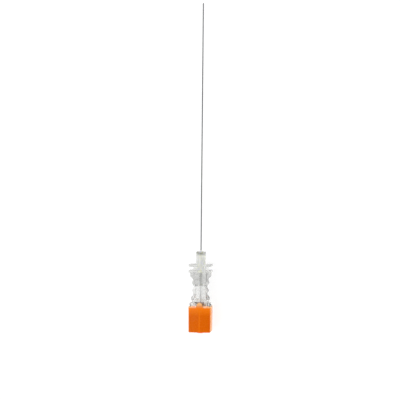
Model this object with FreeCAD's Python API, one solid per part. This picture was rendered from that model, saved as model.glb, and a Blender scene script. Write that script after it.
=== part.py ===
import FreeCAD, Part
import math
import os

from FreeCAD import Vector

# Spinal needle, 25 gauge, 0.5 x 89 mm, with its stylet in place. Millimetres, +Z up.
# It lies on the lower edges of its finger plates and on its cap, with the key side up.
# The origin is on the needle's axis at the front face of the hub's nose.
# +Y points to the tip, so every place on the hub and the cap has a negative y.

# Cannula: a thin steel tube with a cutting bevel
needle_length = 89.0          # from the nose face to the tip
cannula_diameter = 0.50
cannula_bore = 0.28
bevel_angle = 20.0            # main ground face against the axis, degrees
lancet_angle = 30.0           # the two side grinds that make the point
lancet_roll = 40.0            # how far the side grinds turn about the axis
cannula_seat = 0.01           # radial gap of the tube in the hub's bore

# Stylet wire: fills the bore, so that no tissue core is cut
stylet_clearance = 0.02       # radial, in the cannula's bore
wire_anchor = 7.0             # length of wire moulded into the cap's stem

# Hub: one clear moulding
hub_length = 19.4
nose_diameter = 3.40
nose_length = 4.45
nose_chamfer = 0.20
plate_width = 8.25
grip_depth = 7.5              # plates and cap are this deep, so the needle lies level
plate_thickness = 0.85
plate_corner = 1.1
plate_edge_round = 0.18
neck_diameter = 5.4
neck_length = 1.25            # gap between the two finger plates
barrel_front_diameter = 5.3
barrel_waist_diameter = 4.6
barrel_rear_diameter = 5.3

# Waisted grip: two side wings whose edges are ribbed for the fingers
wing_thickness = 2.6
wing_edge_chamfer = 0.25
waist_width = 5.15            # halfway between ribs and hollows, at the narrowest place
waist_station = 5.8           # how far behind the rear plate the waist lies
waist_curve = 12.5            # radius of the shallow arc that the ribs ride on
rib_pitch = 2.67              # along that arc
rib_height = 0.54             # from hollow to crest
first_rib = 1.28              # the first crest, behind the rear plate

# Female 6 % taper socket, rim, lugs and key notch
socket_mouth = 4.27
socket_taper = 0.06           # change of diameter over length
socket_depth = 7.5
funnel_length = 0.55
funnel_mouth = 1.8
rim_diameter = 6.4
rim_length = 2.4
rim_chamfer = 0.15
lug_span = 7.86
lug_width = 4.2
lug_thickness = 1.25
lug_setback = 0.10            # from the hub's end
lug_slope = 0.30
notch_width = 3.2
notch_length = 1.5
notch_wall = 0.35             # left between the notch and the socket

# Cured adhesive that holds the cannula, in a well with a countersunk mouth
countersink_mouth = 2.6
countersink_depth = 0.70
well_top = 2.1                # under the countersink
well_floor = 2.0
well_depth = 7.4
bead_height = 0.50            # from the nose face
bead_bulge = 0.12             # out from a straight slope down to the countersink's floor

# Stylet cap: a moulded box with a key tongue, open towards the hub
cap_gap = 0.10                # between the hub's end and the cap
cap_length = 9.2
cap_width = 8.0
cap_draft = 0.5               # degrees on each side
cap_wall = 0.95
cap_corner = 0.6
cap_inner_corner = 0.25
cap_end_round = 0.40
cap_crest = 0.24              # the key side rises to a faint ridge
plug_length = 0.9             # how far the stem reaches into the socket
plug_clearance = 0.10
plug_chamfer = 0.20
stem_base_diameter = 4.2
tongue_width = 1.9
tongue_base = 2.6
tongue_length = 1.4
tongue_point = 0.60           # length of the pointed part
tongue_flare = 0.45           # length over which it widens into the cap
tongue_clearance = 0.20       # under the tongue, in the notch
tongue_fall = 0.45            # the tongue slopes down towards its point
scallop_depth = 0.50          # dips in the front edge, beside the tongue
scallop_width = 1.25
gate_diameter = 2.4           # moulding gate on the end face
gate_height = 0.40

# Places along the axis, worked out from the sizes above
front_plate_face = -nose_length
front_plate_back = front_plate_face - plate_thickness
rear_plate_face = front_plate_back - neck_length
rear_plate_back = rear_plate_face - plate_thickness
hub_end = -hub_length
rim_face = hub_end + rim_length
socket_floor = hub_end + socket_depth
cannula_end = socket_floor + funnel_length
cap_front = hub_end - cap_gap
cap_end = cap_front - cap_length
plug_tip = hub_end + plug_length

stylet_diameter = cannula_bore - 2 * stylet_clearance
half_depth = grip_depth / 2
notch_floor = socket_mouth / 2 + notch_wall
axis_y = Vector(0, 1, 0)


def turned(edges):
    """Solid turned about the needle's axis from a closed outline in the XY plane."""
    face = Part.Face(Part.Wire(Part.__sortEdges__(edges)))
    solid = face.revolve(Vector(0, 0, 0), axis_y, 360)
    if solid.Volume < 0:
        solid.reverse()
    return solid


def runs(points):
    """Straight edges through (radius, y) points."""
    corners = [Vector(radius, y, 0) for radius, y in points]
    return [Part.LineSegment(a, b).toShape() for a, b in zip(corners, corners[1:])]


def closed_runs(points):
    """Straight edges through (radius, y) points and back to the first."""
    return runs(points + points[:1])


def prism(outline, bottom, top):
    """Upright prism on a closed outline of (x, y) points."""
    corners = [Vector(x, y, bottom) for x, y in outline]
    face = Part.Face(Part.makePolygon(corners + corners[:1]))
    return face.extrude(Vector(0, 0, top - bottom))


def rounded_section(width, low, high, corner, y, crest=0.0):
    """Wire across the axis: a rounded rectangle whose upper side may rise to a ridge."""
    half = width / 2
    swing = corner * (1 - math.sqrt(0.5))
    edge_points = [
        (half, low + corner), (half, high - corner),
        (half - corner, high), (0, high + crest),
        (corner - half, high), (-half, high - corner),
        (-half, low + corner), (corner - half, low), (half - corner, low),
    ]
    mid_points = {
        1: (half - swing, high - swing),
        4: (swing - half, high - swing),
        6: (swing - half, low + swing),
        8: (half - swing, low + swing),
    }
    edges = []
    for index, (x, z) in enumerate(edge_points):
        next_x, next_z = edge_points[(index + 1) % len(edge_points)]
        start = Vector(x, y, z)
        stop = Vector(next_x, y, next_z)
        if index in mid_points:
            mid_x, mid_z = mid_points[index]
            edges.append(Part.Arc(start, Vector(mid_x, y, mid_z), stop).toShape())
        else:
            edges.append(Part.LineSegment(start, stop).toShape())
    return Part.Wire(edges)


def ground_face(angle, roll):
    """Block in front of one ground face, which passes through the needle's point."""
    angle = math.radians(angle)
    roll = math.radians(roll)
    normal = Vector(
        math.cos(angle) * math.sin(roll),
        math.sin(angle),
        math.cos(angle) * math.cos(roll),
    )
    bevel_length = cannula_diameter / math.tan(math.radians(bevel_angle))
    side = 8 * bevel_length       # far larger than what it cuts
    block = Part.makeBox(side, side, side, Vector(-side / 2, -side / 2, 0))
    point = Vector(0, needle_length, -cannula_diameter / 2)
    block.Placement = FreeCAD.Placement(point, FreeCAD.Rotation(Vector(0, 0, 1), normal))
    return block


def ground(bar):
    """Bar or tube with the main bevel and the two lancet grinds taken off."""
    bar = bar.cut(ground_face(bevel_angle, 0))
    for roll in (lancet_roll, -lancet_roll):
        bar = bar.cut(ground_face(lancet_angle, roll))
    return bar


def along_axis(diameter, back, front):
    """Round bar on the needle's axis."""
    return Part.makeCylinder(diameter / 2, front - back, Vector(0, back, 0), axis_y)


def make_cannula():
    tube = along_axis(cannula_diameter, cannula_end, needle_length)
    tube = tube.cut(along_axis(cannula_bore, cannula_end, needle_length))
    return ground(tube)


def wire_end():
    return cap_front - wire_anchor


def make_stylet_wire():
    return ground(along_axis(stylet_diameter, wire_end(), needle_length))


def well_radius(y):
    """Radius of the adhesive's well, which narrows from its countersink to its floor."""
    share = (-y - countersink_depth) / (well_depth - countersink_depth)
    return (well_top + (well_floor - well_top) * share) / 2


def make_adhesive():
    """Adhesive in the well, with a bead that stands up round the tube."""
    inner = cannula_diameter / 2
    top = Vector(inner, bead_height, 0)
    skirt = Vector(well_radius(-countersink_depth), -countersink_depth, 0)
    outwards = Vector(top.y - skirt.y, skirt.x - top.x, 0).normalize()
    middle = (top + skirt) / 2 + outwards * bead_bulge
    bead = Part.Arc(top, middle, skirt).toShape()
    rest = runs([
        (skirt.x, skirt.y),
        (well_radius(-well_depth), -well_depth),
        (inner, -well_depth),
        (inner, bead_height),
    ])
    return turned([bead] + rest)


def hub_core():
    """Nose, neck, waisted barrel and rim, turned in one piece."""
    nose = nose_diameter / 2
    neck = neck_diameter / 2
    rim = rim_diameter / 2
    front = Vector(barrel_front_diameter / 2, rear_plate_back, 0)
    waist = Vector(barrel_waist_diameter / 2, (rear_plate_back + rim_face) / 2, 0)
    rear = Vector(barrel_rear_diameter / 2, rim_face, 0)
    head = runs([
        (0, 0),
        (nose - nose_chamfer, 0),
        (nose, -nose_chamfer),
        (nose, front_plate_face),
        (neck, front_plate_face),
        (neck, rear_plate_face),
        (front.x, rear_plate_face),
        (front.x, front.y),
    ])
    barrel = Part.Arc(front, waist, rear).toShape()
    tail = runs([
        (rear.x, rear.y),
        (rim - rim_chamfer, rim_face),
        (rim, rim_face - rim_chamfer),
        (rim, hub_end + rim_chamfer),
        (rim - rim_chamfer, hub_end),
        (0, hub_end),
        (0, 0),
    ])
    return turned(head + [barrel] + tail)


def finger_plate(face_y):
    """Flat plate with rounded corners and softened edges, square to the axis."""
    wire = rounded_section(plate_width, -half_depth, half_depth, plate_corner, face_y)
    plate = Part.Face(wire).extrude(Vector(0, -plate_thickness, 0))
    return plate.makeFillet(plate_edge_round, rim_edges(plate))


def rim_edges(plate):
    """Edges that lie in one of a plate's two flat faces."""
    return [edge for edge in plate.Edges if edge.BoundBox.YLength < 1e-6]


def grip_turn(station):
    """Angle at which the grip's shallow arc passes a place behind the rear plate."""
    return math.asin((station - waist_station) / waist_curve)


def grip_point(turn, rise=0.0):
    """Point on the right wing at an angle along the shallow arc, raised outwards by a rise."""
    radius = waist_curve - rise
    across = waist_width / 2 + waist_curve - radius * math.cos(turn)
    along = rear_plate_back - waist_station - radius * math.sin(turn)
    return Vector(across, along, -wing_thickness / 2)


def ribbed_edge():
    """Ribs and the hollows between them, as arcs that run smoothly into each other."""
    step = rib_pitch / 2 / waist_curve
    first = grip_turn(first_rib) - step / 2
    last = grip_turn(rear_plate_back - wing_end())
    chord = 2 * waist_curve * math.sin(step / 2)
    sag = waist_curve * (1 - math.cos(step / 2))
    swing = 2 * math.atan(rib_height / chord)
    edges = []
    for index in range(math.ceil((last - first) / step)):
        side = 1 if index % 2 == 0 else -1
        rise = side * chord / 2 * math.tan((swing - side * step / 2) / 2)
        turn = first + index * step
        middle = grip_point(turn + step / 2, rise + sag)
        arc = Part.Arc(grip_point(turn), middle, grip_point(turn + step))
        edges.append(arc.toShape())
    return edges


def wing_end():
    return rim_face - rim_chamfer


def wings():
    """Both ribbed wings as one flat body through the barrel, from the rear plate to the rim."""
    right = ribbed_edge()
    left = [edge.mirror(Vector(0, 0, 0), Vector(1, 0, 0)) for edge in right]
    start = right[0].Vertexes[0].Point
    stop = right[-1].Vertexes[-1].Point
    shoulder = Vector(plate_width / 2 - plate_edge_round, rear_plate_back + plate_thickness / 2, start.z)
    across = [
        Part.LineSegment(stop, mirrored(stop)),
        Part.LineSegment(start, shoulder),
        Part.LineSegment(shoulder, mirrored(shoulder)),
        Part.LineSegment(mirrored(shoulder), mirrored(start)),
    ]
    outline = right + left + [line.toShape() for line in across]
    wire = Part.Wire(Part.__sortEdges__(outline))
    body = Part.Face(wire).extrude(Vector(0, 0, wing_thickness))
    beyond = Part.makeBox(
        2 * plate_width, rib_pitch, 2 * wing_thickness,
        Vector(-plate_width, wing_end() - rib_pitch, -wing_thickness),
    )
    body = body.cut(beyond)
    return body.makeChamfer(wing_edge_chamfer, [edge for edge in body.Edges if runs_along(edge)])


def mirrored(point):
    return Vector(-point.x, point.y, point.z)


def runs_along(edge):
    """True for a level edge that runs along the needle and not across it."""
    box = edge.BoundBox
    return box.ZLength < 1e-6 < box.YLength


def lugs():
    """The two opposed lugs that a locking syringe turns onto."""
    back = hub_end + lug_setback
    front = back + lug_thickness
    outer = lug_span / 2
    inner = rim_diameter / 2 - rim_chamfer
    disc = turned(closed_runs([
        (inner, back),
        (outer, back),
        (outer, front - lug_slope),
        (inner, front),
    ]))
    slab = Part.makeBox(
        lug_span, lug_thickness, lug_width, Vector(-lug_span / 2, back, -lug_width / 2)
    )
    return disc.common(slab)


def socket_radius(y):
    """Radius of the taper socket at y."""
    return (socket_mouth - socket_taper * (y - hub_end)) / 2


def hub_hollow():
    """Countersunk well, bore, funnel and taper socket, joined on the axis."""
    bore = cannula_diameter / 2 + cannula_seat
    beyond = 1.0
    return turned(closed_runs([
        (0, beyond),
        (countersink_mouth / 2, beyond),
        (countersink_mouth / 2, 0),
        (well_radius(-countersink_depth), -countersink_depth),
        (well_radius(-well_depth), -well_depth),
        (bore, -well_depth),
        (bore, cannula_end),
        (funnel_mouth / 2, socket_floor),
        (socket_radius(socket_floor), socket_floor),
        (socket_radius(hub_end), hub_end),
        (socket_radius(hub_end), hub_end - beyond),
        (0, hub_end - beyond),
    ]))


def key_notch():
    """Slot in the rim for the stylet's tongue, on the side that the bevel faces."""
    return Part.makeBox(
        notch_width, notch_length + rim_diameter, rim_diameter,
        Vector(-notch_width / 2, hub_end - rim_diameter, notch_floor),
    )


def make_hub():
    body = hub_core().multiFuse([
        finger_plate(front_plate_face),
        finger_plate(rear_plate_face),
        wings(),
        lugs(),
    ])
    body = body.cut(hub_hollow()).cut(key_notch())
    return body.removeSplitter()


def cap_section(inset, y, corner, crest=0.0):
    """The cap's section at y, with the draft taken off and an inset for the wall."""
    narrower = math.tan(math.radians(cap_draft)) * (cap_front - y) + inset
    return rounded_section(
        cap_width - 2 * narrower,
        narrower - half_depth,
        half_depth - cap_crest - narrower,
        corner,
        y,
        crest,
    )


def cap_shell():
    """Box with draft, a faint ridge on the key side and rounded end edges."""
    outer_sections = [cap_section(0, y, cap_corner, cap_crest) for y in (cap_front, cap_end)]
    outside = Part.makeLoft(outer_sections, True, True)
    end_edges = [edge for edge in outside.Edges if edge.BoundBox.YMax < cap_end + 1e-6]
    outside = outside.makeFillet(cap_end_round, end_edges)
    floor = cap_end + cap_wall
    inner_sections = [cap_section(cap_wall, y, cap_inner_corner) for y in (cap_front, floor)]
    return outside.cut(Part.makeLoft(inner_sections, True, True))


def cap_stem():
    """Stem that carries the wire, and its end that plugs the socket."""
    floor = cap_end + cap_wall / 2
    tip = socket_radius(plug_tip) - plug_clearance
    mouth = socket_radius(hub_end) - plug_clearance
    return turned(closed_runs([
        (0, plug_tip),
        (tip - plug_chamfer, plug_tip),
        (tip, plug_tip - plug_chamfer),
        (mouth, hub_end),
        (mouth, cap_front),
        (stem_base_diameter / 2, floor),
        (0, floor),
    ]))


def tongue():
    """Pointed key that lies in the hub's notch and slopes down to its point."""
    base = tongue_base / 2
    half = tongue_width / 2
    tip = cap_front + cap_gap + tongue_length
    root = cap_front - cap_wall
    outline = [
        (-base, root), (base, root), (base, cap_front),
        (half, cap_front + tongue_flare), (half, tip - tongue_point),
        (0, tip),
        (-half, tip - tongue_point), (-half, cap_front + tongue_flare), (-base, cap_front),
    ]
    underside = notch_floor + tongue_clearance
    blank = prism(outline, underside, half_depth)
    high = half_depth - cap_crest / 2
    slope = Part.Face(Part.makePolygon([
        Vector(-base, cap_front, high), Vector(-base, tip, high - tongue_fall),
        Vector(-base, tip, half_depth + cap_crest), Vector(-base, root, half_depth + cap_crest),
        Vector(-base, root, high), Vector(-base, cap_front, high),
    ])).extrude(Vector(2 * base, 0, 0))
    return blank.cut(slope)


def scallops():
    """Two shallow dips in the cap's front edge, beside the tongue."""
    radius = (scallop_width ** 2 / 4 + scallop_depth ** 2) / (2 * scallop_depth)
    place = tongue_base / 2 + scallop_width / 2
    cuts = []
    for side in (-1, 1):
        centre = Vector(side * place, cap_front - scallop_depth + radius, 0)
        cuts.append(Part.makeCylinder(radius, half_depth + cap_wall, centre, Vector(0, 0, 1)))
    return cuts


def make_stylet_cap():
    gate = along_axis(gate_diameter, cap_end - gate_height, cap_end + cap_wall / 2)
    gate_edge = [edge for edge in gate.Edges if edge.BoundBox.YMax < cap_end]
    gate = gate.makeChamfer(gate_height / 2, gate_edge)
    shell = cap_shell()
    for dip in scallops():
        shell = shell.cut(dip)
    body = shell.multiFuse([cap_stem(), tongue(), gate])
    body = body.cut(along_axis(stylet_diameter, wire_end(), plug_tip))
    return body.removeSplitter()


def main():
    os.makedirs("parts", exist_ok=True)
    pieces = {
        "cannula": make_cannula(),
        "stylet_wire": make_stylet_wire(),
        "adhesive": make_adhesive(),
        "hub": make_hub(),
        "stylet_cap": make_stylet_cap(),
    }
    for name, shape in pieces.items():
        shape.exportStep(f"parts/{name}.step")
        print(name, len(shape.Solids), "solid", round(shape.Volume, 3), "mm3", shape.isValid())


main()
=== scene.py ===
# %% [markdown]
# # A spinal needle with its stylet
# The real object has five pieces. A thin steel tube with a ground point is glued into a clear
# hub, a drop of adhesive holds it there, and a wire fills the tube and carries an orange cap.
# The frame gives the size and place of every piece, and this script gives each one its looks.

# %% Load the frame
import math

import bmesh
import bpy
from mathutils import Matrix, Vector


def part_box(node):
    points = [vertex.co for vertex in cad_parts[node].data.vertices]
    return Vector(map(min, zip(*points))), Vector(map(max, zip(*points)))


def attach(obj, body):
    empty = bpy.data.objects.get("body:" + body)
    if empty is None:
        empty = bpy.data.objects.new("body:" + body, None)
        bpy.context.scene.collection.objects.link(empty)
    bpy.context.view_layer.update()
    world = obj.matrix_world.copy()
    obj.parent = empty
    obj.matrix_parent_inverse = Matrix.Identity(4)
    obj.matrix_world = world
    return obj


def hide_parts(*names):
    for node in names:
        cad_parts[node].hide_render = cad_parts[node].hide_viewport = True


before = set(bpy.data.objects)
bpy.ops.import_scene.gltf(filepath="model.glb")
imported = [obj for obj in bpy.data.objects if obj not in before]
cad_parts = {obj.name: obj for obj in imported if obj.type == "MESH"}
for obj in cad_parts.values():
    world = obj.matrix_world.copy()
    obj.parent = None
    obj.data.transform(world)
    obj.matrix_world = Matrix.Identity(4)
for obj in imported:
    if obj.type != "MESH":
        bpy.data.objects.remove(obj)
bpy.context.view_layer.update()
bpy.ops.object.select_all(action="DESELECT")

# %% [markdown]
# ## Sizes
# The hub is smaller than a fingertip, and some of Blender's tools merge points that lie less
# than a tenth of a millimetre apart. So every piece is modelled a thousand times too large,
# with its millimetres written as metres, and is made small when it is finished. The outer
# sizes come from the frame, and the sizes inside a piece are written here once.

# %% Sizes from the frame, in millimetres
mm = 0.001


def frame_box(node):
    """Lowest and highest corner of a node, in millimetres."""
    low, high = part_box(node)
    return low / mm, high / mm


hub_low, hub_high = frame_box("hub")
tube_low, tube_high = frame_box("cannula")
wire_low, wire_high = frame_box("stylet_wire")
glue_low, glue_high = frame_box("adhesive")
cap_low, cap_high = frame_box("stylet_cap")

nose_face = hub_high.y
hub_end = hub_low.y
plate_width = hub_high.x - hub_low.x
grip_depth = hub_high.z - hub_low.z
half_depth = grip_depth / 2
print("hub", round(nose_face - hub_end, 2), "long and", round(plate_width, 2), "wide")

# %% Sizes of the hub
nose_radius = 1.70
nose_length = 4.45
nose_round = 0.22
barrel_steps = 16                # rings on the waisted barrel
plate_thickness = 0.85
plate_corner = 1.1
plate_edge_round = 0.18
neck_radius = 2.70
neck_length = 1.25
barrel_radius = 2.65
barrel_waist_radius = 2.30
rim_radius = 3.20
rim_length = 2.40
rim_round = 0.15

front_plate_face = nose_face - nose_length
front_plate_back = front_plate_face - plate_thickness
rear_plate_face = front_plate_back - neck_length
rear_plate_back = rear_plate_face - plate_thickness
rim_face = hub_end + rim_length

# %% [markdown]
# ## Helpers for modelling
# A part that was turned or moulded round is made as on a lathe: a ring is extruded along the
# needle's axis and resized at each step. Faces and edges are picked by their place, in code,
# where a person would click on them. Two solids are joined or cut with a boolean modifier,
# which is applied at once so that the next step starts from plain faces.

# %% Helpers for modelling
ring_sides = 96
axis_turn = (math.pi / 2, 0, 0)     # turns a ring or a cylinder from +Z to the needle's axis


def begin():
    """Leave edit mode and deselect everything."""
    if bpy.context.object and bpy.context.object.mode != "OBJECT":
        bpy.ops.object.mode_set(mode="OBJECT")
    bpy.ops.object.select_all(action="DESELECT")


def focus(piece, mode="OBJECT"):
    """Make one piece the only selected one, in the mode that is asked for."""
    begin()
    piece.select_set(True)
    bpy.context.view_layer.objects.active = piece
    bpy.ops.object.mode_set(mode=mode)


def named(name):
    """Name the new primitive, put its place into its mesh and start to edit it."""
    piece = bpy.context.object
    piece.name = name
    piece.data.name = name
    bpy.ops.object.transform_apply(location=True, rotation=True, scale=True)
    bpy.ops.object.mode_set(mode="EDIT")
    bpy.ops.mesh.select_all(action="SELECT")
    return piece


def pick(kind, test):
    """Select the faces or edges whose middle and direction pass a test, and count them."""
    bpy.ops.mesh.select_mode(type=kind)
    bpy.ops.mesh.select_all(action="DESELECT")
    mesh = bmesh.from_edit_mesh(bpy.context.object.data)
    chosen = 0
    if kind == "FACE":
        for face in mesh.faces:
            face.select = test(face.calc_center_median(), face.normal)
            chosen += face.select
    else:
        for edge in mesh.edges:
            start, stop = (corner.co for corner in edge.verts)
            edge.select = test((start + stop) / 2, (stop - start).normalized())
            chosen += edge.select
    bmesh.update_edit_mesh(bpy.context.object.data)
    return chosen


def close_to(value, target, slack=0.01):
    """True where two places are the same but for rounding."""
    return abs(value - target) < slack


def off_axis(point):
    """Distance of a point from the needle's axis."""
    return math.hypot(point.x, point.z)


def turned(name, outline, hollow=False, sides=ring_sides):
    """Solid turned about the needle's axis from (radius, y) points."""
    begin()
    radius, y = outline[0]
    bpy.ops.mesh.primitive_circle_add(
        vertices=sides, radius=radius, location=(0, y, 0), rotation=axis_turn)
    piece = named(name)
    for next_radius, next_y in outline[1:]:
        bpy.ops.mesh.extrude_region_move(TRANSFORM_OT_translate={"value": (0, next_y - y, 0)})
        share = next_radius / radius
        bpy.ops.transform.resize(value=(share, 1, share), center_override=(0, next_y, 0))
        radius, y = next_radius, next_y
    if hollow:
        bpy.ops.mesh.select_all(action="DESELECT")
        bpy.ops.mesh.select_mode(type="EDGE")
        bpy.ops.mesh.select_non_manifold()
        bpy.ops.mesh.bridge_edge_loops()
    else:
        bpy.ops.mesh.edge_face_add()
        bpy.ops.mesh.select_all(action="DESELECT")
        bpy.ops.mesh.select_mode(type="EDGE")
        bpy.ops.mesh.select_non_manifold()
        bpy.ops.mesh.edge_face_add()
    face_outwards()
    return piece


def face_outwards():
    """Turn every face of the edited piece outwards."""
    bpy.ops.mesh.select_all(action="SELECT")
    bpy.ops.mesh.normals_make_consistent(inside=False)


def round_ring(radius, y, offset, segments=4):
    """Round the turned edge that lies at one radius and one place on the axis."""
    pick("EDGE", lambda middle, way: close_to(middle.y, y) and close_to(off_axis(middle), radius, 0.02))
    bpy.ops.mesh.bevel(offset=offset, segments=segments, affect="EDGES")


def combine(piece, other, operation):
    """Join another solid to a piece or cut it away, and remove the other one."""
    focus(piece)
    tool = piece.modifiers.new(operation.lower(), "BOOLEAN")
    tool.operation = operation
    tool.solver = "EXACT"
    tool.object = other
    bpy.ops.object.modifier_apply(modifier=tool.name)
    bpy.data.objects.remove(other)


def arc(start, stop, middle, steps):
    """(radius, y) points on the circle through two ends and a middle, without its start."""
    half = (stop[1] - start[1]) / 2
    centre_y = (start[1] + stop[1]) / 2
    rise = middle - start[0]
    big = (half * half + rise * rise) / (2 * abs(rise))
    sign = 1 if rise > 0 else -1
    points = []
    for step in range(1, steps + 1):
        y = start[1] + (stop[1] - start[1]) * step / steps
        drop = big - math.sqrt(big * big - (y - centre_y) ** 2)
        points.append((middle - sign * drop, y))
    return points


# %% [markdown]
# ## Hub: the turned core
# Nose, neck, waisted barrel and rim share one axis, so they are one lathe outline. The waist
# is an arc of rings. The nose and the rim get rounded edges, because a moulded edge is never
# sharp and a rounded one catches a thin line of light.

# %% Turn the core of the hub
def hub_core():
    front = (barrel_radius, rear_plate_back)
    rear = (barrel_radius, rim_face)
    core = turned("hub_core", [
        (nose_radius, nose_face),
        (nose_radius, front_plate_face),
        (neck_radius, front_plate_face),
        (neck_radius, rear_plate_face),
        (barrel_radius, rear_plate_face),
        front,
        *arc(front, rear, barrel_waist_radius, barrel_steps),
        (rim_radius, rim_face),
        (rim_radius, hub_end),
    ])
    round_ring(nose_radius, nose_face, nose_round)
    round_ring(rim_radius, rim_face, rim_round)
    round_ring(rim_radius, hub_end, rim_round)
    return core


hub = hub_core()
begin()
print("core", len(hub.data.polygons), "faces")

# %% [markdown]
# ## Hub: the finger plates
# Each plate starts as a cube of its own size. The four edges that run along the needle are
# rounded first, with a large radius, and then the rim of both flat faces with a small one.
# In that order the small rounding follows the large corner.

# %% Model the finger plates
def finger_plate(name, face_y):
    begin()
    bpy.ops.mesh.primitive_cube_add(
        size=1, location=(0, face_y - plate_thickness / 2, 0),
        scale=(plate_width, plate_thickness, grip_depth))
    plate = named(name)
    pick("EDGE", lambda middle, way: abs(way.y) > 0.9)
    bpy.ops.mesh.bevel(offset=plate_corner, segments=8, affect="EDGES")
    pick("FACE", lambda middle, normal: abs(normal.y) > 0.9)
    bpy.ops.mesh.region_to_loop()
    bpy.ops.mesh.bevel(offset=plate_edge_round, segments=4, affect="EDGES")
    return plate


front_plate = finger_plate("front_plate", front_plate_face)
rear_plate = finger_plate("rear_plate", rear_plate_face)

# %% [markdown]
# ## Hub: the ribbed grip
# Two flat wings run down the sides of the barrel, and their edges rise and fall so that
# fingers hold them. The wave rides on a shallow arc that is narrowest at the waist. Both
# wings are one slab through the barrel: a flat face is extruded from station to station and
# resized across, and the long edges are then rounded together.

# %% Model the ribbed wings
wing_thickness = 2.6
wing_edge_round = 0.32
waist_half_width = 2.575
waist_station = 5.8              # behind the rear plate
waist_curve = 12.5
rib_pitch = 2.67
rib_height = 0.54
first_rib = 1.28                 # behind the rear plate
rib_steps = 8                    # stations between a crest and the next hollow


def grip_outline():
    """(half width, y) points from the rear plate to the rim."""
    root = (plate_width / 2 - plate_edge_round, rear_plate_back + plate_thickness / 2)
    crest = math.asin((first_rib - waist_station) / waist_curve)
    half_pitch = rib_pitch / 2 / waist_curve
    last = math.asin((rear_plate_back - rim_face + rim_round - waist_station) / waist_curve)
    steps = math.ceil((last - crest) / half_pitch + 0.5) * rib_steps
    points = [root]
    for step in range(steps + 1):
        turn = crest + half_pitch * (step / rib_steps - 0.5)
        wave = math.cos(math.pi * (turn - crest) / half_pitch)
        radius = waist_curve - rib_height / 2 * wave
        y = rear_plate_back - waist_station - radius * math.sin(turn)
        if y < rim_face - rim_round:
            break
        points.append((waist_half_width + waist_curve - radius * math.cos(turn), y))
    points.append((points[-1][0], rim_face - rim_round))
    return points


def wings():
    outline = grip_outline()
    half, y = outline[0]
    begin()
    bpy.ops.mesh.primitive_plane_add(size=1, location=(0, y, 0), rotation=axis_turn)
    slab = named("wings")
    bpy.ops.transform.resize(value=(2 * half, 1, wing_thickness), center_override=(0, y, 0))
    for next_half, next_y in outline[1:]:
        bpy.ops.mesh.extrude_region_move(TRANSFORM_OT_translate={"value": (0, next_y - y, 0)})
        bpy.ops.transform.resize(value=(next_half / half, 1, 1), center_override=(0, next_y, 0))
        half, y = next_half, next_y
    face_outwards()
    edge_z = wing_thickness / 2
    pick("EDGE", lambda middle, way: close_to(abs(middle.z), edge_z) and abs(way.y) > 0.3)
    bpy.ops.mesh.bevel(offset=wing_edge_round, segments=4, affect="EDGES")
    return slab


grip = wings()
begin()
print("wings", len(grip.data.polygons), "faces")

# %% [markdown]
# ## Hub: the lugs
# A locking syringe turns onto two lugs at the hub's end. They are what is left of a round
# flange when both of its sides are cut away, so a cylinder gets a sloped front by an extrude
# and a resize, and two bisects with a fill make the flats.

# %% Model the two lugs
lug_radius = 3.93
lug_width = 4.2
lug_thickness = 1.25
lug_setback = 0.10
lug_slope = 0.30
lug_round = 0.12


def lugs():
    back = hub_end + lug_setback
    straight = lug_thickness - lug_slope
    begin()
    bpy.ops.mesh.primitive_cylinder_add(
        vertices=ring_sides, radius=lug_radius, depth=straight,
        location=(0, back + straight / 2, 0), rotation=axis_turn)
    flange = named("lugs")
    front = back + lug_thickness
    pick("FACE", lambda middle, normal: normal.y > 0.9)
    bpy.ops.mesh.extrude_region_move(TRANSFORM_OT_translate={"value": (0, lug_slope, 0)})
    share = rim_radius / lug_radius
    bpy.ops.transform.resize(value=(share, 1, share), center_override=(0, front, 0))
    for side in (1, -1):
        bpy.ops.mesh.select_all(action="SELECT")
        bpy.ops.mesh.bisect(
            plane_co=(0, 0, side * lug_width / 2), plane_no=(0, 0, side),
            use_fill=True, clear_outer=True)
    face_outwards()
    pick("EDGE", lambda middle, way: close_to(abs(middle.z), lug_width / 2) or
         (close_to(middle.y, back) and off_axis(middle) > rim_radius))
    bpy.ops.mesh.bevel(offset=lug_round, segments=3, affect="EDGES")
    return flange


flange = lugs()

# %% [markdown]
# ## Hub: one clear moulding
# The parts are joined first and the hollow is cut last, so that no part is left standing in
# it. The hollow holds the adhesive's well with its countersunk mouth, the bore for the tube, a
# funnel that guides the wire, and the taper socket. The notch for the cap's key is cut from the
# rim. All of this shows through the clear wall, so the inside is modelled as carefully as the
# outside.

# %% Join the hub and cut its hollow
countersink_radius = 1.30
countersink_depth = 0.70
well_radius = glue_high.x        # under the countersink
well_floor_radius = 1.0
well_floor = glue_low.y
bore_radius = (tube_high.x - tube_low.x) / 2 + 0.01
funnel_radius = 0.90
socket_mouth = 2.135
socket_taper = 0.03              # change of radius over length
socket_depth = 7.5
socket_floor_round = 0.15
socket_floor = hub_end + socket_depth
notch_width = 3.2
notch_length = 1.5
notch_corner = 0.25
notch_floor = socket_mouth + 0.35
overshoot = 1.0                  # how far a cutter reaches past what it cuts
merge_distance = 0.002
shortest_edge = 0.001


def socket_radius(y):
    """Radius of the taper socket at a place on the axis."""
    return socket_mouth - socket_taper * (y - hub_end)


def hub_hollow():
    cutter = turned("hollow", [
        (countersink_radius, nose_face + overshoot),
        (countersink_radius, nose_face),
        (well_radius, nose_face - countersink_depth),
        (well_floor_radius, well_floor),
        (bore_radius, well_floor),
        (bore_radius, tube_low.y),
        (funnel_radius, socket_floor),
        (socket_radius(socket_floor), socket_floor),
        (socket_mouth, hub_end),
        (socket_mouth, hub_end - overshoot),
    ])
    round_ring(socket_radius(socket_floor), socket_floor, socket_floor_round)
    return cutter


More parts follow.
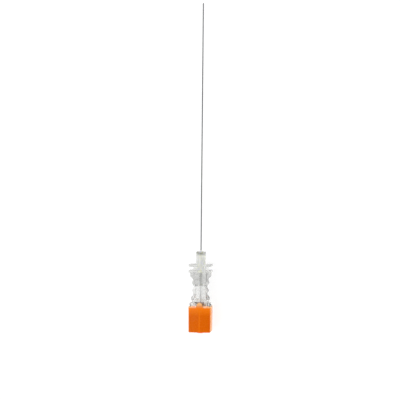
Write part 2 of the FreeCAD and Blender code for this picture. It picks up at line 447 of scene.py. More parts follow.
def key_notch():
    begin()
    depth = rim_radius
    bpy.ops.mesh.primitive_cube_add(
        size=1, scale=(notch_width, notch_length + overshoot, depth),
        location=(0, hub_end + (notch_length - overshoot) / 2, notch_floor + depth / 2))
    cutter = named("notch")
    pick("EDGE", lambda middle, way: abs(way.z) > 0.9 and middle.y > hub_end)
    bpy.ops.mesh.bevel(offset=notch_corner, segments=4, affect="EDGES")
    return cutter


for part in (front_plate, rear_plate, grip, flange):
    combine(hub, part, "UNION")
combine(hub, hub_hollow(), "DIFFERENCE")
combine(hub, key_notch(), "DIFFERENCE")


def finish_piece(name, piece, body, node, smooth_angle=32):
    """Clean the mesh, make it real size, smooth it and let it stand for its node."""
    focus(piece, "EDIT")
    bpy.ops.mesh.select_all(action="SELECT")
    bpy.ops.mesh.remove_doubles(threshold=merge_distance)
    bpy.ops.mesh.dissolve_degenerate(threshold=shortest_edge)
    bpy.ops.mesh.normals_make_consistent(inside=False)
    bpy.ops.transform.resize(value=(mm, mm, mm), center_override=(0, 0, 0))
    mesh = bmesh.from_edit_mesh(piece.data)
    open_edges = sum(1 for edge in mesh.edges if not edge.is_manifold)
    volume = mesh.calc_volume() / mm ** 3
    bpy.ops.object.mode_set(mode="OBJECT")
    bpy.ops.object.shade_smooth_by_angle(angle=math.radians(smooth_angle))
    piece.name = name
    piece.data.name = name
    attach(piece, body)
    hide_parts(node)
    print(name, len(piece.data.polygons), "faces,", open_edges, "open edges,", round(volume, 2), "mm3")
    return piece


clear_hub = finish_piece("clear_hub", hub, "needle", "hub")

# %% [markdown]
# ## Adhesive
# A cured drop fills the well up to its countersink and stands up round the tube as a bead. It
# reaches a hair's breadth into the hub's wall, because two surfaces in the same place flicker
# in a render, and a bonded joint has no air between the two. The outline is closed on itself,
# so the tube's hole stays open.

# %% Turn the adhesive
bond = 0.02                      # how far the adhesive reaches into what it holds
bond_start = 0.1                 # behind the countersink's floor
tube_radius = (tube_high.x - tube_low.x) / 2
bead_bulge = 0.12                # out from a straight slope down to the countersink's floor
bead_steps = 10


def adhesive_outline():
    """(radius, y) points: the bead, the well's wall and floor, and the tube's hole."""
    inner = tube_radius - bond / 2
    top = Vector((inner, glue_high.y))
    skirt = Vector((well_radius, nose_face - countersink_depth))
    slope = skirt - top
    outwards = Vector((-slope.y, slope.x)).normalized()
    points = []
    for step in range(bead_steps + 1):
        share = step / bead_steps
        points.append(top + slope * share + outwards * bead_bulge * 4 * share * (1 - share))
    return points + [
        (well_radius + bond, skirt.y - bond_start),
        (well_floor_radius + bond, well_floor),
        (inner, well_floor),
    ]


glue = turned("glue", adhesive_outline(), hollow=True, sides=64)
bonding_adhesive = finish_piece(
    "bonding_adhesive", glue, "needle", "adhesive", smooth_angle=40)

# %% [markdown]
# ## Needle tube and stylet wire
# The point of a spinal needle is ground three times. The first cut is a long slope, and two
# shorter ones turn to the left and to the right give it cutting edges. Each grind is one
# bisect with a fill, through the needle's point. The wire is ground together with the tube,
# so both get the same cuts and end flush.

# %% Model the tube and the wire
bevel_angle = 20
lancet_angle = 30
lancet_roll = 40
tube_bore_radius = 0.14


def grind(piece):
    """Cut the three ground faces through the needle's point."""
    point = (0, tube_high.y, -tube_radius)
    for angle, roll in ((bevel_angle, 0), (lancet_angle, lancet_roll), (lancet_angle, -lancet_roll)):
        slope, turn = math.radians(angle), math.radians(roll)
        across = math.cos(slope)
        normal = (across * math.sin(turn), math.sin(slope), across * math.cos(turn))
        bpy.ops.mesh.select_all(action="SELECT")
        bpy.ops.mesh.bisect(plane_co=point, plane_no=normal, use_fill=True, clear_outer=True)
    return piece


def steel_tube():
    tip = tube_high.y
    tube = turned("tube", [
        (tube_radius, tip), (tube_radius, tube_low.y),
        (tube_bore_radius, tube_low.y), (tube_bore_radius, tip),
    ], hollow=True, sides=48)
    return grind(tube)


def steel_wire():
    radius = (wire_high.x - wire_low.x) / 2
    wire = turned("wire", [(radius, tube_high.y), (radius, wire_low.y)], sides=32)
    return grind(wire)


needle_tube = finish_piece("needle_tube", steel_tube(), "needle", "cannula")
stylet_rod = finish_piece("stylet_rod", steel_wire(), "stylet", "stylet_wire")

# %% [markdown]
# ## Stylet cap
# The cap is a thin box that is open towards the hub. A cube gets its draft by resizing the
# end face, its corners and its end are rounded, and a bisect down the middle of the key side
# gives an edge that can be raised to a faint ridge. The hollow is a second, smaller box that
# is cut away: its corners have their own small radius, which an inset of the rounded face
# would turn inside out.

# %% Model the cap's shell
cap_gap = 0.10
cap_width = cap_high.x - cap_low.x
gate_height = 0.40
cap_wall = 0.95
cap_draft = 0.5                  # degrees on each side
cap_corner = 0.6
cap_inner_corner = 0.25
cap_end_round = 0.40
cap_crest = 0.24
cap_front = hub_end - cap_gap
cap_end = cap_low.y + gate_height
scallop_depth = 0.50
scallop_width = 1.25
key_half_base = 1.3


def drafted_box(name, inset, front, back, corner):
    """Box between two places on the axis, narrower towards the back, with rounded corners."""
    width = cap_width - 2 * inset
    low, high = inset - half_depth, half_depth - cap_crest - inset
    begin()
    bpy.ops.mesh.primitive_cube_add(
        size=1, scale=(width, front - back, high - low),
        location=(0, (front + back) / 2, (high + low) / 2))
    box = named(name)
    narrower = math.tan(math.radians(cap_draft)) * (front - back)
    pick("FACE", lambda middle, normal: normal.y < -0.9)
    bpy.ops.transform.resize(
        value=(1 - 2 * narrower / width, 1, 1 - 2 * narrower / (high - low)),
        center_override=(0, back, 0))
    pick("EDGE", lambda middle, way: abs(way.y) > 0.9)
    bpy.ops.mesh.bevel(offset=corner, segments=6, affect="EDGES")
    return box


def cap_shell():
    shell = drafted_box("shell", 0, cap_front, cap_end, cap_corner)
    bpy.ops.mesh.select_all(action="SELECT")
    bpy.ops.mesh.bisect(plane_co=(0, 0, 0), plane_no=(1, 0, 0))
    pick("EDGE", lambda middle, way: abs(way.y) > 0.9 and close_to(middle.x, 0) and middle.z > 0)
    bpy.ops.transform.translate(value=(0, 0, cap_crest))
    pick("FACE", lambda middle, normal: normal.y < -0.9)
    bpy.ops.mesh.region_to_loop()
    bpy.ops.mesh.bevel(offset=cap_end_round, segments=5, affect="EDGES")
    hollow = drafted_box(
        "hollow", cap_wall, cap_front + overshoot, cap_end + cap_wall, cap_inner_corner)
    combine(shell, hollow, "DIFFERENCE")
    return shell


def scallop(side):
    """Cylinder that cuts one shallow dip into the front edge, beside the key."""
    radius = (scallop_width ** 2 / 4 + scallop_depth ** 2) / (2 * scallop_depth)
    begin()
    bpy.ops.mesh.primitive_cylinder_add(
        vertices=48, radius=radius, depth=grip_depth,
        location=(side * (key_half_base + scallop_width / 2),
                  cap_front - scallop_depth + radius, grip_depth / 2))
    return named("scallop")


cap = cap_shell()
for side in (-1, 1):
    combine(cap, scallop(side), "DIFFERENCE")

# %% [markdown]
# ## Stylet cap: stem, key and gate
# Inside the box a tapered stem carries the wire, and its end plugs the socket. The pointed
# key lies in the hub's notch and tells which way the ground point faces. It is a flat blank
# that is extruded from the cap to its point, narrower at each step, and then sloped. On the
# end face stands the small round mark of the moulding gate.

# %% Model the stem, the key and the gate
plug_length = 0.9
plug_clearance = 0.10
plug_round = 0.20
stem_base_radius = 2.1
key_half_width = 0.95
key_length = 1.4
key_point = 0.60                 # length over which it narrows to its tip
key_tip_half = 0.06
key_flare = 0.45                 # length over which it widens into the cap
key_lift = 0.20                  # under the key, in the notch
key_fall = 0.45                  # its top slopes down towards its tip
key_round = 0.10
gate_radius = 1.2


def cap_stem():
    tip = hub_end + plug_length
    stem = turned("stem", [
        (socket_radius(tip) - plug_clearance, tip),
        (socket_radius(hub_end) - plug_clearance, hub_end),
        (socket_radius(hub_end) - plug_clearance, cap_front),
        (stem_base_radius, cap_end + cap_wall / 2),
    ], sides=72)
    round_ring(socket_radius(tip) - plug_clearance, tip, plug_round)
    return stem


def key():
    underside = notch_floor + key_lift
    top = half_depth - cap_crest / 2
    root = cap_front - cap_wall
    tip = cap_front + cap_gap + key_length
    stations = [
        (key_half_base, cap_front), (key_half_width, cap_front + key_flare),
        (key_half_width, tip - key_point), (key_tip_half, tip),
    ]
    height = top - underside
    middle = (0, root, underside + height / 2)
    begin()
    bpy.ops.mesh.primitive_plane_add(size=1, location=middle, rotation=axis_turn)
    blank = named("key")
    half, y = key_half_base, root
    bpy.ops.transform.resize(value=(2 * half, 1, height), center_override=middle)
    for next_half, next_y in stations:
        bpy.ops.mesh.extrude_region_move(TRANSFORM_OT_translate={"value": (0, next_y - y, 0)})
        bpy.ops.transform.resize(value=(next_half / half, 1, 1), center_override=(0, next_y, 0))
        if next_y > cap_front:
            fall = key_fall * (next_y - max(y, cap_front)) / (tip - cap_front)
            share = (height - fall) / height
            bpy.ops.transform.resize(value=(1, 1, share), center_override=(0, next_y, underside))
            height -= fall
        half, y = next_half, next_y
    face_outwards()
    pick("EDGE", lambda place, way: place.z > underside + height / 2 and abs(way.x) < 0.98)
    bpy.ops.mesh.bevel(offset=key_round, segments=3, affect="EDGES")
    return blank


def gate_mark():
    gate = turned("gate", [(gate_radius, cap_end + cap_wall / 2), (gate_radius, cap_low.y)], sides=48)
    round_ring(gate_radius, cap_low.y, gate_height / 2)
    return gate


def wire_hole():
    radius = (wire_high.x - wire_low.x) / 2
    reach = hub_end + plug_length + overshoot
    return turned("wire_hole", [(radius, reach), (radius, wire_low.y)], sides=32)


for part in (cap_stem(), key(), gate_mark()):
    combine(cap, part, "UNION")
combine(cap, wire_hole(), "DIFFERENCE")
orange_cap = finish_piece("orange_cap", cap, "stylet", "stylet_cap")

# %% [markdown]
# ## Materials
# Every finish is made of nodes that read Object coordinates, in metres, so a pattern stays
# on its piece from all sides. A noise of large scale varies the colour a little, and one of
# small scale roughens the gloss and raises a faint bump, which is what keeps moulded plastic
# and drawn steel from looking like a flat colour.

# %% Helpers for materials
def start_material(name):
    """A node material with Object coordinates at hand."""
    material = bpy.data.materials.new(name)
    material.use_nodes = True
    tree = material.node_tree
    surface = tree.nodes["Principled BSDF"]
    place = tree.nodes.new("ShaderNodeTexCoord").outputs["Object"]
    return material, tree, surface, place


def noise(tree, place, size, stretch=(1, 1, 1), detail=3):
    """Noise with features of a size in millimetres, longer along an axis by its stretch."""
    mapping = tree.nodes.new("ShaderNodeMapping")
    mapping.inputs["Scale"].default_value = [1 / (size * mm * factor) for factor in stretch]
    tree.links.new(place, mapping.inputs["Vector"])
    texture = tree.nodes.new("ShaderNodeTexNoise")
    texture.inputs["Scale"].default_value = 1
    texture.inputs["Detail"].default_value = detail
    tree.links.new(mapping.outputs["Vector"], texture.inputs["Vector"])
    return texture.outputs["Fac"]


def spread(tree, value, low, high, start=0.3, stop=0.7):
    """Map a noise from its usual range to a low and a high value."""
    ranged = tree.nodes.new("ShaderNodeMapRange")
    ranged.inputs["From Min"].default_value = start
    ranged.inputs["From Max"].default_value = stop
    ranged.inputs["To Min"].default_value = low
    ranged.inputs["To Max"].default_value = high
    tree.links.new(value, ranged.inputs["Value"])
    return ranged.outputs["Result"]


def split_place(tree, place):
    """X, Y and Z of a place, each by itself: across, along and above the needle's axis."""
    split = tree.nodes.new("ShaderNodeSeparateXYZ")
    tree.links.new(place, split.inputs["Vector"])
    return split.outputs


def blend_colours(tree, share, first, second):
    """The first colour at a share of 0 and the second at 1, each a colour or a node's output."""
    mix = tree.nodes.new("ShaderNodeMix")
    mix.data_type = "RGBA"
    for socket, colour in (("A", first), ("B", second)):
        found = [item for item in mix.inputs if item.name == socket and item.type == "RGBA"][0]
        if isinstance(colour, tuple):
            found.default_value = (*colour, 1)
        else:
            tree.links.new(colour, found)
    tree.links.new(share, mix.inputs["Factor"])
    return [item for item in mix.outputs if item.type == "RGBA"][0]


def fade(tree, value, full, none):
    """1 at one place in millimetres, 0 at another, and a straight run between them."""
    return spread(tree, value, 0, 1, none * mm, full * mm)


def work_out(tree, operation, *values):
    """Result of a calculation with numbers or with what other nodes give."""
    calculation = tree.nodes.new("ShaderNodeMath")
    calculation.operation = operation
    for socket, value in zip(calculation.inputs, values):
        if isinstance(value, float):
            socket.default_value = value
        else:
            tree.links.new(value, socket)
    return calculation.outputs["Value"]


def add_bump(tree, surface, height, strength, distance):
    """Raise the surface by a noise, by a distance in millimetres."""
    bump = tree.nodes.new("ShaderNodeBump")
    bump.inputs["Strength"].default_value = strength
    bump.inputs["Distance"].default_value = distance * mm
    tree.links.new(height, bump.inputs["Height"])
    tree.links.new(bump.outputs["Normal"], surface.inputs["Normal"])


def paint(piece, material):
    """Give a piece its one material."""
    piece.data.materials.clear()
    piece.data.materials.append(material)


# %% [markdown]
# ## Clear plastic
# The hub is a clear plastic of index 1.5. A white ground behind it stays nearly white where
# the walls are flat, and turns grey where they bend the light away, so the shape itself draws
# the picture. The moulding is not quite clean: a slight cloud in the colour and in the gloss
# is mixed in. Three places are toned to match the photograph, which the plastic alone did not,
# and all three are painted shade. The thick part of the grip with its wings is greyer, partly
# for its thickness and partly as a painted shadow of the floor seen through it. A ring in the
# nose, where the adhesive meets the air, is painted grey as shade, and the inner end of the
# notch is painted darker as shade.

# %% Clear plastic
clear_bright = (0.99, 0.99, 0.985)
clear_cloudy = (0.96, 0.965, 0.96)
# Painted shade: the grip's grey, the notch's dark brown and the nose ring's grey.
grip_painted_shade = (0.60, 0.60, 0.595)
notch_painted_shade = (0.30, 0.24, 0.20)
ring_painted_shade = (0.55, 0.555, 0.53)
ring_middle = 0.90               # behind the nose face
ring_half_width = 0.30
ring_fade = 0.45
plastic_index = 1.50
plastic_clear = 0.95             # the share of light that passes, and the rest is haze
absorbed = (0.70, 0.705, 0.67)
absorb_density = 100             # per metre
cloud_size = 2.5
patch_size = 0.9
grain_size = 0.5
flow_size = 1.2                  # faint waves of the moulding's surface
mask_slack = 0.02                # how far a mask reaches past the face where it ends


def grip_shade_share(tree, across, along):
    """1 where the grip is painted with shade: on the wings and on the solid part of the barrel, which
    lies before the socket.
    """
    behind_plates = fade(tree, along, rear_plate_back - 0.4, rear_plate_back)
    solid = fade(tree, along, socket_floor + 0.3, socket_floor - 0.6)
    width = work_out(tree, "ABSOLUTE", across)
    beside_barrel = fade(tree, width, barrel_radius + 0.2, barrel_radius - 0.3)
    before_rim = fade(tree, along, rim_face + 0.3, rim_face)
    on_wings = work_out(tree, "MULTIPLY", beside_barrel, before_rim)
    either = work_out(tree, "MAXIMUM", solid, on_wings)
    return work_out(tree, "MULTIPLY", behind_plates, either)


def ring_shade_share(tree, along):
    """1 on the ring of painted shade at the nose, and less towards both of its sides."""
    place = work_out(tree, "ADD", along, (ring_middle - nose_face) * mm)
    distance = work_out(tree, "ABSOLUTE", place)
    return fade(tree, distance, ring_half_width, ring_half_width + ring_fade)


def notch_shade_share(tree, across, along, height):
    """1 on the painted shade at the inner end of the notch, beside the key's point."""
    width = work_out(tree, "ABSOLUTE", across)
    notch_end = hub_end + notch_length
    in_notch = work_out(
        tree, "MULTIPLY",
        fade(tree, width, notch_width / 2 + mask_slack, notch_width / 2 + 0.15),
        fade(tree, height, notch_floor - mask_slack, notch_floor - 0.1))
    at_end = work_out(
        tree, "MULTIPLY",
        fade(tree, along, notch_end - 0.6, notch_end - 1.2),
        fade(tree, along, notch_end + mask_slack, notch_end + 0.2))
    return work_out(tree, "MULTIPLY", in_notch, at_end)


def clear_plastic():
    material, tree, surface, place = start_material("clear_plastic")
    across, along, height = split_place(tree, place)
    cloud = spread(tree, noise(tree, place, cloud_size), 0, 1)
    colour = blend_colours(tree, cloud, clear_bright, clear_cloudy)
    # The grip's painted shade, broken into patches.
    patches = spread(tree, noise(tree, place, patch_size), 0.4, 1)
    grey = work_out(tree, "MULTIPLY", grip_shade_share(tree, across, along), patches)
    colour = blend_colours(tree, grey, colour, grip_painted_shade)
    # A ring of painted shade in the nose.
    colour = blend_colours(tree, ring_shade_share(tree, along), colour, ring_painted_shade)
    # Painted shade: the inner end of the notch is darkened.
    notch = notch_shade_share(tree, across, along, height)
    colour = blend_colours(tree, notch, colour, notch_painted_shade)
    tree.links.new(colour, surface.inputs["Base Color"])
    grain = noise(tree, place, grain_size, detail=4)
    tree.links.new(spread(tree, grain, 0.18, 0.28), surface.inputs["Roughness"])
    surface.inputs["Coat Weight"].default_value = 0.25
    surface.inputs["Coat Roughness"].default_value = 0.08
    surface.inputs["Transmission Weight"].default_value = plastic_clear
    surface.inputs["IOR"].default_value = plastic_index
    depth = tree.nodes.new("ShaderNodeVolumeAbsorption")
    depth.inputs["Color"].default_value = (*absorbed, 1)
    depth.inputs["Density"].default_value = absorb_density
    tree.links.new(depth.outputs["Volume"], tree.nodes["Material Output"].inputs["Volume"])
    flow = noise(tree, place, flow_size, stretch=(1, 3, 1))
    add_bump(tree, surface, flow, 0.3, 0.02)
    return material


paint(clear_hub, clear_plastic())

# %% [markdown]
# ## Cured adhesive
# The adhesive is milky and a little yellow-green. Light enters it and comes back softened,
# which subsurface scattering gives, and small trapped bubbles mottle it. In the well, behind the
# clear wall, it rendered darker than in the photograph, so a faint glow is added there that the
# real adhesive doesn't have. The bead stands free of the hub and needs none.

# %% Cured adhesive
adhesive_deep = (0.93, 0.94, 0.87)
adhesive_pale = (0.97, 0.97, 0.91)
adhesive_index = 1.5
bubble_size = 0.7
caught_light = (0.93, 0.95, 0.89)
caught_strength = 0.27
caught_fade = 0.5                # behind the countersink's floor


def cured_adhesive():
    material, tree, surface, place = start_material("cured_adhesive")
    mottle = spread(tree, noise(tree, place, bubble_size, detail=4), 0, 1)
    colour = blend_colours(tree, mottle, adhesive_deep, adhesive_pale)
    tree.links.new(colour, surface.inputs["Base Color"])
    tree.links.new(spread(tree, mottle, 0.25, 0.45, 0, 1), surface.inputs["Roughness"])
    surface.inputs["IOR"].default_value = adhesive_index
    surface.inputs["Subsurface Weight"].default_value = 0.6
    surface.inputs["Subsurface Radius"].default_value = (1.0, 1.0, 0.7)
    surface.inputs["Subsurface Scale"].default_value = 0.3 * mm
    surface.inputs["Emission Color"].default_value = (*caught_light, 1)
    along = split_place(tree, place)["Y"]
    countersink_floor = nose_face - countersink_depth
    in_well = fade(tree, along, countersink_floor - caught_fade, countersink_floor)
    glow = work_out(tree, "MULTIPLY", in_well, caught_strength)
    tree.links.new(glow, surface.inputs["Emission Strength"])
    add_bump(tree, surface, mottle, 0.4, 0.03)
    return material


paint(bonding_adhesive, cured_adhesive())

# %% [markdown]
# ## Drawn steel
# Tube and wire are drawn through dies, which leaves fine lines along them. So the noise is
# stretched forty times along the needle. The tube is taken to be polished after that and the
# wire is not, so the wire is the rougher of the two. Behind the well, inside the barrel, the
# bare tube rendered darker than in the photograph. There it is painted pale, dull and faintly
# glowing, which is painted light. Adhesive that crept along the tube might leave such a film,
# but that is a guess. The wire slides, and has none of the painted light.

# %% Drawn steel
tube_grey = (0.57, 0.58, 0.59)
tube_dark = (0.49, 0.50, 0.51)
wire_grey = (0.55, 0.56, 0.57)
wire_dark = (0.47, 0.48, 0.49)
line_width = 0.05
line_stretch = 40
line_depth = 0.003
stain_size = 3
# Painted light on the tube behind the well: pale, dull and glowing.
painted_light_white = (0.86, 0.87, 0.85)
painted_light_share = 0.75
painted_glow = 0.32                 # times the painted light's share, in the colour of the adhesive's glow
painted_light_start = well_floor + 0.2
painted_light_fade = 0.4


def drawn_steel(name, colour, darker, smooth, rough):
    """Steel with lines along the needle, between a smooth and a rough gloss."""
    material, tree, surface, place = start_material(name)
    lines = noise(tree, place, line_width, stretch=(1, line_stretch, 1), detail=2)
    stain = spread(tree, noise(tree, place, stain_size), 0, 1)
    mixed = blend_colours(tree, stain, colour, darker)
    tree.links.new(mixed, surface.inputs["Base Color"])
    tree.links.new(spread(tree, lines, smooth, rough), surface.inputs["Roughness"])
    surface.inputs["Metallic"].default_value = 1
    add_bump(tree, surface, lines, 0.4, line_depth)
    return material


def add_painted_light(material):
    """Paint light on the steel between the well and the tube's end: pale, dull and faintly glowing."""
    tree = material.node_tree
    surface = tree.nodes["Principled BSDF"]
    colour = surface.inputs["Base Color"].links[0].from_socket
    gloss = surface.inputs["Roughness"].links[0].from_socket
    along = split_place(tree, tree.nodes["Texture Coordinate"].outputs["Object"])["Y"]
    behind_well = fade(tree, along, painted_light_start - painted_light_fade, painted_light_start)
    before_end = fade(tree, along, tube_low.y, tube_low.y - 0.1)
    painted_light_mask = work_out(tree, "MULTIPLY", behind_well, before_end)
    painted_light_mask = work_out(tree, "MULTIPLY", painted_light_mask, painted_light_share)
    tree.links.new(blend_colours(tree, painted_light_mask, colour, painted_light_white), surface.inputs["Base Color"])
    tree.links.new(work_out(tree, "MAXIMUM", gloss, painted_light_mask), surface.inputs["Roughness"])
    tree.links.new(work_out(tree, "SUBTRACT", 1.0, painted_light_mask), surface.inputs["Metallic"])
    surface.inputs["Emission Color"].default_value = (*caught_light, 1)
    glow = work_out(tree, "MULTIPLY", painted_light_mask, painted_glow)
    tree.links.new(glow, surface.inputs["Emission Strength"])
    return material


paint(needle_tube, add_painted_light(drawn_steel("tube_steel", tube_grey, tube_dark, 0.16, 0.30)))
paint(stylet_rod, drawn_steel("wire_steel", wire_grey, wire_dark, 0.25, 0.42))

# %% [markdown]
# ## Orange plastic
# The cap's plastic is lightly translucent. Its thin front rim and the key's point are painted
# pale, as painted light that comes through them, and the side faces are painted paler, as a
# painted sheen where they are seen at a grazing angle. The wall behind the rim is a warm orange,
# and towards the thick closed end it is deeper, partly for its thickness and partly as painted
# shade. The crest, where the two halves of the key side meet, is a little paler than the rest,
# which is a painted highlight. A faint glow inside, near the open front, stands in for the light
# that passes the walls and shows in the dips beside the key. All of it is read from the place on
# the piece, and a fine mottle breaks the gloss.

# %% Orange plastic
# The pale colour is painted light through thin plastic, and the side colour is a painted sheen.
shine_through_orange = (1.0, 0.60, 0.28)
side_sheen_orange = (0.86, 0.29, 0.025)
front_orange = (0.91, 0.208, 0.006)
end_orange = (0.70, 0.125, 0.001)
warm_start = 0.8                 # behind the front edge, up to where the wall is warm
warm_length = 3.4                # from the front edge to where the colour stays even
side_full = 0.10                 # in from a side face, up to where its colour is full
side_none = 0.25                 # and from where the side's colour doesn't show
rim_depth = 0.60                 # how far the pale rim reaches in from the front edge
crest_width = 0.35               # to each side of the middle
crest_highlight_share = 0.7
inner_light = (1.0, 0.74, 0.52)
inner_strength = 0.62
inner_reach = 1.8                # behind the front edge
orange_index = 1.5
mottle_size = 0.35


def shine_through_share(tree, width, along):
    """1 where light through the thin plastic is painted: at the front edge and at the key's point, from
    where the key deepens to its root.
    """
    rim = fade(tree, along, cap_front - 0.1, cap_front - rim_depth)
    at_point = fade(tree, along, cap_front + key_length - 0.4, cap_front - 0.5)
    beside_key = fade(tree, width, key_half_base + 0.1, key_half_base - 0.1)
    return work_out(tree, "MINIMUM", rim, work_out(tree, "MAXIMUM", at_point, beside_key))


def inside_share(tree, width, along, height):
    """1 on the inside of the wall at the front edge, and less behind it."""
    inner_width = cap_width / 2 - cap_wall
    inner_height = half_depth - cap_wall
    depth = work_out(tree, "ABSOLUTE", height)
    within = work_out(
        tree, "MULTIPLY",
        fade(tree, width, inner_width + mask_slack, inner_width + 0.1),
        fade(tree, depth, inner_height + mask_slack, inner_height + 0.1))
    behind = work_out(
        tree, "MULTIPLY",
        fade(tree, along, cap_front, cap_front - inner_reach),
        fade(tree, along, cap_front - 0.05, cap_front + 0.05))
    return work_out(tree, "MULTIPLY", within, behind)


def crest_highlight_place(tree, width, height):
    """1 on the painted highlight along the ridge of the key side, and 0 beside it and on the other
    sides.
    """
    return work_out(
        tree, "MULTIPLY",
        fade(tree, width, 0, crest_width),
        fade(tree, height, half_depth - 1.0, half_depth - 1.5))


def orange_plastic():
    material, tree, surface, place = start_material("orange_plastic")
    across, along, height = split_place(tree, place)
    width = work_out(tree, "ABSOLUTE", across)
    # Deeper towards the closed end, partly for its thickness and partly as painted shade.
    warm = fade(tree, along, cap_front - warm_start, cap_front - warm_length)
    colour = blend_colours(tree, warm, end_orange, front_orange)
    # Painted highlight along the crest.
    crest = crest_highlight_place(tree, width, height)
    crest = work_out(tree, "MULTIPLY", crest, crest_highlight_share)
    colour = blend_colours(tree, crest, colour, front_orange)
    # Painted sheen on the side faces.
    sides = fade(tree, width, cap_width / 2 - side_full, cap_width / 2 - side_none)
    colour = blend_colours(tree, sides, colour, side_sheen_orange)
    # Painted light through the thin front rim and the key's point.
    pale = shine_through_share(tree, width, along)
    colour = blend_colours(tree, pale, colour, shine_through_orange)
    mottle = noise(tree, place, mottle_size, detail=4)
    deeper = blend_colours(tree, spread(tree, mottle, 0, 0.12), colour, end_orange)
    tree.links.new(deeper, surface.inputs["Base Color"])
    tree.links.new(spread(tree, mottle, 0.20, 0.32), surface.inputs["Roughness"])
    surface.inputs["IOR"].default_value = orange_index
    surface.inputs["Specular IOR Level"].default_value = 0.25
    surface.inputs["Subsurface Weight"].default_value = 0.15
    surface.inputs["Subsurface Radius"].default_value = (1.0, 0.35, 0.1)
    surface.inputs["Subsurface Scale"].default_value = 0.6 * mm
    surface.inputs["Emission Color"].default_value = (*inner_light, 1)
    inside = inside_share(tree, width, along, height)
    glow = work_out(tree, "MULTIPLY", inside, inner_strength)
    tree.links.new(glow, surface.inputs["Emission Strength"])
    add_bump(tree, surface, mottle, 0.25, 0.01)
    return material


paint(orange_cap, orange_plastic())

# %% [markdown]
# ## Floor and light
# The object lies on a plain white floor. What the camera sees of the floor, and what glass
# and metal show of it, has a light of its own, so it is white whatever the lamps do. A part
# of it stays a lit surface, so that the object keeps its shadow, and all other rays meet a
# plain pale surface. The sky is dim overhead, bright halfway down and duller at the horizon.
# That gives steel and clear plastic their dark middles, light edges and grey outlines.

# %% Floor and sky
floor_size = 4.0
floor_glow = 0.86
floor_matte = 0.22
sky_top = 0.02
sky_side = 0.90
horizon_share = 0.4              # of the sky's light, at the horizon
clear_height = 0.30              # sine of the height where the horizon's haze ends
bright_height = 0.45             # sine of the height where the sky starts to grow dim
dim_height = 0.93                # sine of the height from which it stays dim


def rays_that_see(tree):
    """1 for camera, glossy and transmission rays, and 0 for the rest."""
    path = tree.nodes.new("ShaderNodeLightPath").outputs
    mirrored = work_out(tree, "MAXIMUM", path["Is Glossy Ray"], path["Is Transmission Ray"])
    return work_out(tree, "MAXIMUM", path["Is Camera Ray"], mirrored)


def white_floor():
    material = bpy.data.materials.new("white_floor")
    material.use_nodes = True
    tree = material.node_tree
    tree.nodes.remove(tree.nodes["Principled BSDF"])
    glow = tree.nodes.new("ShaderNodeEmission")
    glow.inputs["Strength"].default_value = floor_glow
    matte = tree.nodes.new("ShaderNodeBsdfDiffuse")
    matte.inputs["Color"].default_value = (floor_matte, floor_matte, floor_matte, 1)
    both = tree.nodes.new("ShaderNodeAddShader")
    tree.links.new(glow.outputs["Emission"], both.inputs[0])
    tree.links.new(matte.outputs["BSDF"], both.inputs[1])
    plain = tree.nodes.new("ShaderNodeBsdfDiffuse")
    plain.inputs["Color"].default_value = (0.8, 0.8, 0.8, 1)
    choice = tree.nodes.new("ShaderNodeMixShader")
    tree.links.new(rays_that_see(tree), choice.inputs["Fac"])
    tree.links.new(plain.outputs["BSDF"], choice.inputs[1])
    tree.links.new(both.outputs["Shader"], choice.inputs[2])
    tree.links.new(choice.outputs["Shader"], tree.nodes["Material Output"].inputs["Surface"])
    return material


begin()
bpy.ops.mesh.primitive_plane_add(size=floor_size, location=(0, 0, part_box("hub")[0].z))
floor = bpy.context.object
floor.name = "floor"
paint(floor, white_floor())


def sky():
    """World that is dim overhead, bright halfway down and duller at the horizon."""
    world = bpy.data.worlds.new("studio")
    bpy.context.scene.world = world
    world.use_nodes = True
    tree = world.node_tree
    direction = tree.nodes.new("ShaderNodeTexCoord").outputs["Generated"]
    height = split_place(tree, direction)["Z"]
    above = spread(tree, height, sky_side, sky_top, bright_height, dim_height)
    haze = spread(tree, height, horizon_share, 1, 0, clear_height)
    level = work_out(tree, "MULTIPLY", above, haze)
    tree.links.new(level, tree.nodes["Background"].inputs["Strength"])
    tree.nodes["Background"].inputs["Color"].default_value = (1, 1, 1, 1)


sky()

# %% [markdown]
# ## Lamps
# Soft boxes give the plain light: a weak one overhead, two on the left, behind the cap and
# before the tip, and one low on the right, which lights the cap's side face. Mirrored rays
# don't see the boxes. A round needle would show each of them as a bright line, and would fade
# against the white ground from the sides where that line falls.

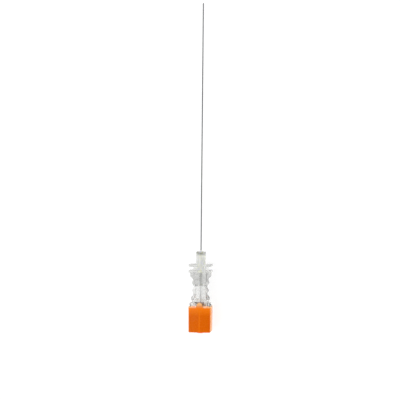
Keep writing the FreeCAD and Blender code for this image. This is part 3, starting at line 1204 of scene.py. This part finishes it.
# %% Lamps
def soft_box(name, place, size, power):
    """Square area lamp that looks at the nose face and isn't mirrored, in metres and watts."""
    light = bpy.data.lights.new(name, "AREA")
    light.size = size
    light.energy = power
    lamp = bpy.data.objects.new(name, light)
    bpy.context.scene.collection.objects.link(lamp)
    lamp.location = place
    lamp.rotation_euler = (-Vector(place)).to_track_quat("-Z", "Y").to_euler()
    lamp.visible_glossy = False
    return lamp


soft_box("top_box", (-0.50, -0.10, 1.10), 0.5, 3.0)
soft_box("cap_side_box", (-0.80, -0.70, 0.75), 0.6, 5.5)
soft_box("tip_side_box", (-0.80, 0.85, 0.70), 0.5, 4.0)
soft_box("right_box", (0.8, -0.5, 0.22), 0.4, 5.0)

# %% [markdown]
# ## Camera
# The camera looks down on the lying needle from above, turned a few degrees about the needle
# so that the side face of the cap shows as a narrow strip, and rolled by half a degree, so
# that the needle leans a little to the right. Its lens follows from the length that the frame
# of 400 pixels spans at the needle's own height.

# %% Camera
frame_pixels = 400
pixel_size = 0.3575 * mm         # on the needle's axis
camera_distance = 0.45
camera_turn = math.radians(6.5)  # about the needle
camera_roll = math.radians(0.55)
centre_along = 18.4 * mm         # the place on the needle at the middle row
centre_across = 0.55 * mm        # how far right of the middle the needle lies there


def photo_camera():
    data = bpy.data.cameras.new("camera")
    camera = bpy.data.objects.new("camera", data)
    bpy.context.scene.collection.objects.link(camera)
    data.lens = data.sensor_width * camera_distance / (frame_pixels * pixel_size)
    back = Vector((math.sin(camera_turn), 0, math.cos(camera_turn)))
    level = Vector((math.cos(camera_turn), 0, -math.sin(camera_turn)))
    along = Vector((0, 1, 0))
    right = level * math.cos(camera_roll) + along * math.sin(camera_roll)
    up = along * math.cos(camera_roll) - level * math.sin(camera_roll)
    camera.location = along * centre_along - level * centre_across + back * camera_distance
    camera.rotation_euler = Matrix((right, up, back)).transposed().to_euler()
    data.clip_start, data.clip_end = 0.01, 20
    return camera


bpy.context.scene.camera = photo_camera()
bpy.context.scene.view_settings.view_transform = "Standard"
